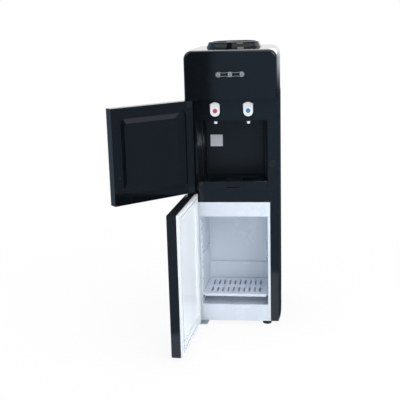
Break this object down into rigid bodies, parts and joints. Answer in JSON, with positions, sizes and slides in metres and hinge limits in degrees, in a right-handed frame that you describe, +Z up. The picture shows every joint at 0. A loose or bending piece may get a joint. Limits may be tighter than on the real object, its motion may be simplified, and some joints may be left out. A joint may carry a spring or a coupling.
{
  "type": "top load water cooler",
  "caption": "Free-standing bottle-top water cooler with a recessed tap bay behind an upper door and a lined storage cabinet behind a lower door.",
  "frame": {"origin": "centre of the cabinet's footprint on the floor, midway between the head's front face and its back edge", "axes": "+Z up; -Y out of the front, where the taps and doors are; +X to the right of someone facing the cooler"},
  "size_m": [0.5182, 0.6349, 0.95],
  "materials": {
    "gloss_black": "high gloss moulded black plastic",
    "satin_black": "fine-textured black plastic",
    "painted_black": "smooth black paint on sheet steel",
    "dark_enamel": "black enamel on steel",
    "white_plastic": "smooth moulded white plastic",
    "light_grey_plastic": "moulded light grey plastic",
    "red_plastic": "bright red moulded plastic",
    "blue_plastic": "bright blue moulded plastic",
    "green_plastic": "green moulded plastic",
    "bezel_silver": "thin silvered trim",
    "smoked_lens": "tinted clear plastic",
    "circuit_board": "green lacquered board",
    "plain_steel": "plain drawn steel",
    "zinc_steel": "zinc-plated pressed steel",
    "foam": "pale rigid foam",
    "nylon": "natural nylon",
    "grey_rubber": "soft grey seal rubber",
    "black_rubber": "moulded black rubber",
    "silicone": "milky silicone tube",
    "copper": "bare copper, slightly dulled"
  },
  "bodies": {
    "cabinet": {"base_pan": "painted_black", "left_side_panel": "painted_black", "right_side_panel": "painted_black", "back_panel": "painted_black", "front_frame": "gloss_black", "head_shell": "gloss_black", "indicator_bezel": "bezel_silver", "indicator_lenses": "smoked_lens", "indicator_board": "circuit_board", "bottle_collar": "gloss_black", "bottle_seat": "satin_black", "tank_baffle": "white_plastic", "bay_liner": "satin_black", "hot_tap_body": "satin_black", "cold_tap_body": "satin_black", "hot_spout": "white_plastic", "cold_spout": "white_plastic", "lever_pins": "plain_steel", "storage_liner": "white_plastic", "storage_insulation": "foam", "top_hinge": "zinc_steel", "middle_hinge": "zinc_steel", "bottom_hinge": "zinc_steel", "door_catch": "satin_black", "feet": "black_rubber", "tank_shelf": "zinc_steel", "cold_tank": "plain_steel", "tank_insulation": "foam", "evaporator": "copper", "hot_tank": "plain_steel", "water_pipes": "silicone", "compressor": "dark_enamel", "compressor_mounts": "black_rubber", "condenser_coil": "dark_enamel", "condenser_wires": "dark_enamel", "condenser_brackets": "zinc_steel", "filter_drier": "copper", "refrigerant_pipes": "copper", "switch_housing": "satin_black", "drain_outlet": "white_plastic", "cord_gland": "satin_black"},
    "upper_door": {"upper_door_shell": "gloss_black", "upper_door_panel": "satin_black", "upper_door_bushes": "nylon", "door_strike": "zinc_steel"},
    "lower_door": {"lower_door_shell": "gloss_black", "lower_door_insulation": "foam", "lower_door_liner": "white_plastic", "lower_door_gasket": "grey_rubber", "lower_door_bushes": "nylon"},
    "hot_lever_body": {"hot_lever": "white_plastic"},
    "cold_lever_body": {"cold_lever": "white_plastic", "cold_cap": "blue_plastic"},
    "hot_button_body": {"hot_button": "red_plastic"},
    "tray": {"drip_tray": "gloss_black"},
    "tray_cover": {"drip_cover": "gloss_black"},
    "shelf_body": {"shelf": "light_grey_plastic"},
    "hot_rocker": {"hot_switch": "red_plastic"},
    "cold_rocker": {"cold_switch": "green_plastic"},
    "cap": {"drain_cap": "satin_black"}
  },
  "joints": [
    {"name": "upper_door_hinge", "type": "hinge", "parent": "cabinet", "child": "upper_door", "pos_m": [-0.14, -0.1655, 0.6213], "axis": [0, 0, -1], "range_deg": [-138, 12]},
    {"name": "lower_door_hinge", "type": "hinge", "parent": "cabinet", "child": "lower_door", "pos_m": [-0.14, -0.1655, 0.2391], "axis": [0, 0, -1], "range_deg": [-94, 36]},
    {"name": "hot_lever_pivot", "type": "hinge", "parent": "cabinet", "child": "hot_lever_body", "pos_m": [-0.0535, -0.138, 0.755], "axis": [1, 0, 0], "range_deg": [0, 8], "stiffness_Nm_per_rad": 0.8},
    {"name": "cold_lever_pivot", "type": "hinge", "parent": "cabinet", "child": "cold_lever_body", "pos_m": [0.0535, -0.138, 0.755], "axis": [1, 0, 0], "range_deg": [0, 8], "stiffness_Nm_per_rad": 0.8},
    {"name": "hot_button_push", "type": "slide", "parent": "hot_lever_body", "child": "hot_button_body", "axis": [0, 1, 0], "range_m": [0, 0.0025], "stiffness_N_per_m": 300},
    {"name": "drip_tray_slide", "type": "slide", "parent": "cabinet", "child": "tray", "axis": [0, -1, 0], "range_m": [0, 0.1]},
    {"name": "drip_cover_lift", "type": "slide", "parent": "tray", "child": "tray_cover", "axis": [0, 0, 1], "range_m": [0, 0.04]},
    {"name": "shelf_slide", "type": "slide", "parent": "cabinet", "child": "shelf_body", "axis": [0, -1, 0], "range_m": [0, 0.15]},
    {"name": "hot_rocker_tilt", "type": "hinge", "parent": "cabinet", "child": "hot_rocker", "pos_m": [-0.0099, 0.146, 0.64], "axis": [1, 0, 0], "range_deg": [-16, 0]},
    {"name": "cold_rocker_tilt", "type": "hinge", "parent": "cabinet", "child": "cold_rocker", "pos_m": [0.0099, 0.146, 0.64], "axis": [1, 0, 0], "range_deg": [-16, 0]},
    {"name": "drain_cap_turn", "type": "hinge", "parent": "cabinet", "child": "cap", "pos_m": [-0.07, 0.1595, 0.51], "axis": [0, 1, 0], "continuous": true}
  ]
}
